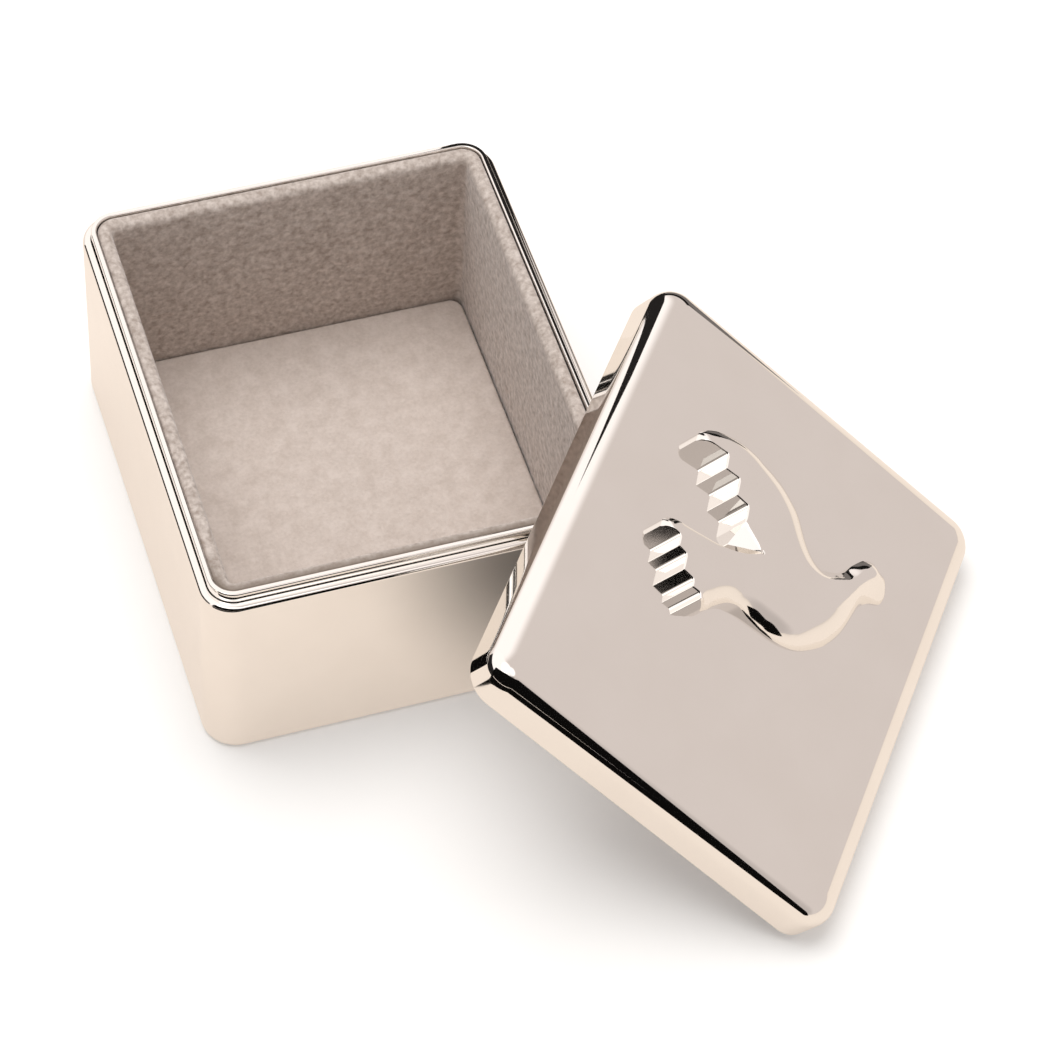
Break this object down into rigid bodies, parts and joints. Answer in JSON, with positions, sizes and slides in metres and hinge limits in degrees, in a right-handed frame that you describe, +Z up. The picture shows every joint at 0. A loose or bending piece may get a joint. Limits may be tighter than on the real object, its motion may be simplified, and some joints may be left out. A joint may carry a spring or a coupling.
{
  "type": "rosary box",
  "caption": "Small rectangular keepsake box in polished metal with rounded corners, a stepped neck, velvet lining and a lift-off lid with a dove in relief, shown open, the lid leaning on it.",
  "frame": {"origin": "centre of the box's underside, on the table", "axes": "+Z up, +X along the box's short side, +Y along its long side away from the viewer; the lid lies off the box towards +X and -Y"},
  "size_m": [0.1104, 0.1222, 0.0392],
  "materials": {
    "body_shell": "polished silver plate on pressed metal",
    "neck_frame": "polished silver plate",
    "base_felt": "pressed wool felt",
    "wall_card": "grey board",
    "wall_velvet": "short pile velvet, warm grey",
    "floor_board": "grey board",
    "floor_velvet": "short pile velvet, warm grey",
    "lid_shell": "polished silver plate on pressed metal",
    "dove_relief": "polished silver plate on cast metal",
    "lid_board": "grey board",
    "lid_velvet": "short pile velvet, warm grey"
  },
  "bodies": {
    "box": {"body_shell": "body_shell", "neck_frame": "neck_frame", "base_felt": "base_felt", "wall_card": "wall_card", "wall_velvet": "wall_velvet", "floor_board": "floor_board", "floor_velvet": "floor_velvet"},
    "lid": {"lid_shell": "lid_shell", "dove_relief": "dove_relief", "lid_board": "lid_board", "lid_velvet": "lid_velvet"}
  },
  "joints": [
    {"name": "lid_lift", "type": "slide", "parent": "box", "child": "lid", "axis": [0, 0, 1], "range_m": [0, 0.036]}
  ]
}
